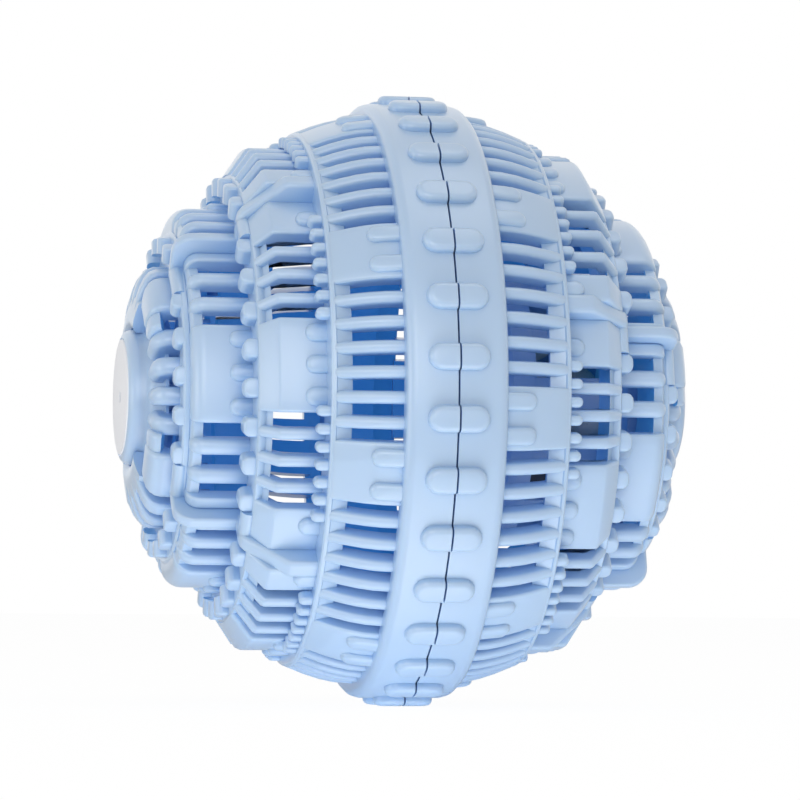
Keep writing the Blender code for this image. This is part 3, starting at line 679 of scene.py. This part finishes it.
# The ball
BLUE = "pale_blue_plastic"
WHITE = "white_disc"
CLAYS = ("dark_grey_ceramic", "brown_ceramic", "pink_ceramic", "cream_ceramic")
FINISHES = {
    BLUE: blue_plastic(),
    WHITE: white_plastic(),
    CLAYS[0]: fired_ceramic("dark_fired_clay", dark=rgba(0.05, 0.05, 0.058),
                            light=rgba(0.11, 0.11, 0.12), speck=rgba(0.3, 0.3, 0.3)),
    CLAYS[1]: fired_ceramic("brown_fired_clay", dark=rgba(0.2, 0.13, 0.095),
                            light=rgba(0.33, 0.24, 0.18), speck=rgba(0.5, 0.42, 0.35)),
    CLAYS[2]: fired_ceramic("pink_fired_clay", dark=rgba(0.5, 0.33, 0.28),
                            light=rgba(0.6, 0.43, 0.38), speck=rgba(0.3, 0.2, 0.18)),
    CLAYS[3]: fired_ceramic("cream_fired_clay", dark=rgba(0.62, 0.59, 0.52),
                            light=rgba(0.74, 0.71, 0.65), speck=rgba(0.4, 0.36, 0.3))}

for side in ("left", "right"):
    for piece, name in ((band(side), "_equator_band"), (ring_a(), "_ribbed_ring"),
                        (ring_b(), "_second_ring"), (ring_c(), "_third_ring"),
                        (ring_d(), "_inner_ring")):
        piece.finish(side + name, side, side + "_half", side + "_shell", BLUE)
    cap(side)
bead_basket()
basket_lid()
for node in sorted(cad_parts):
    if node.startswith("bead_") and node != "bead_basket":
        chamber, row, place = (int(word) for word in node.split("_")[1:])
        uneven = 0.015 * ((chamber + row + place) % 3 - 1)
        ceramic_bead(node, CLAYS[chamber - 1], (1 + uneven, 1 - uneven, 1.0))


# The room. Each lamp has a name, a place and a size in metres, and its watts.
WHITE_LIGHT = rgba(1, 1, 1)
ROOM_LIGHT = 0.45
LAMPS = (("front_softbox", (-0.3, -1.0, 0.25), 0.7, 2.4),
         ("side_softbox", (-1.0, -0.25, 0.0), 0.6, 1.5),
         ("light_table", (-0.05, -0.35, -0.8), 0.8, 5.7),
         ("top_softbox", (0.2, -0.2, 1.0), 0.7, 1.3))


def pale_paint(name, colour, kept, strength):
    """A floor that glows white to the camera but keeps a share of its shadow."""
    material = bpy.data.materials.new(name)
    material.use_nodes = True
    nodes = Nodes(material.node_tree)
    diffuse = nodes.node("ShaderNodeBsdfDiffuse", {"Color": colour})
    glow = nodes.node("ShaderNodeEmission", {"Color": WHITE_LIGHT, "Strength": strength})
    seen = nodes.node("ShaderNodeLightPath", output="Is Camera Ray")
    both = nodes.node("ShaderNodeMixShader", {0: seen * (1 - kept), 1: diffuse, 2: glow})
    nodes.connect(both, "Material Output", "Surface")
    nodes.tree.nodes.remove(nodes.tree.nodes[SHADER])
    return material


def studio():
    """A pale floor, a white room and soft lamps."""
    bm = bmesh.new()
    bmesh.ops.create_grid(bm, x_segments=1, y_segments=1, size=3.0)
    bmesh.ops.translate(bm, vec=(0, 0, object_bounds()[0][2] - 0.0001), verts=bm.verts[:])
    floor = put_in_scene("floor", to_mesh(bm, "floor"))
    floor.data.materials.append(pale_paint("pale_floor", rgba(0.9, 0.9, 0.9), 0.07, 1.03))
    floor.visible_shadow = False

    world = bpy.data.worlds.new("white_room")
    world.use_nodes = True
    bpy.context.scene.world = world
    world.node_tree.nodes["Background"].inputs["Color"].default_value = WHITE_LIGHT
    nodes = Nodes(world.node_tree)
    seen = nodes.node("ShaderNodeLightPath", output="Is Camera Ray")
    for ray in ("Is Glossy Ray", "Is Transmission Ray"):
        other = nodes.node("ShaderNodeLightPath", output=ray)
        seen = nodes.node("ShaderNodeMath", {0: seen, 1: other}, operation="MAXIMUM")
    nodes.connect(seen * (1 - ROOM_LIGHT) + ROOM_LIGHT, "Background", "Strength")

    for name, place, size, power in LAMPS:
        lamp = bpy.data.lights.new(name, "AREA")
        lamp.shape = "DISK"
        lamp.size = size
        lamp.energy = power
        holder = put_in_scene(name, lamp)
        holder.location = place
        holder.rotation_euler = (-Vector(place)).to_track_quat("-Z", "Y").to_euler()


def camera():
    """The photograph's viewpoint: a little to the left of the seam and below it."""
    azimuth = -11.0 * DEG
    elevation = -2.6 * DEG
    roll = 0.39 * DEG
    distance = 0.7
    data = bpy.data.cameras.new("camera")
    data.sensor_width = 36.0
    data.lens = 191.7
    data.shift_x = 0.0013
    data.shift_y = 0.0018
    made = put_in_scene("camera", data)
    made.location = (distance * math.sin(azimuth) * math.cos(elevation),
                     -distance * math.cos(azimuth) * math.cos(elevation),
                     distance * math.sin(elevation))
    aim = (-made.location).to_track_quat("-Z", "Y").to_matrix()
    made.rotation_euler = (aim @ Matrix.Rotation(roll, 3, "Z")).to_euler()
    bpy.context.scene.camera = made


studio()
camera()
bpy.context.scene.view_settings.view_transform = "Standard"
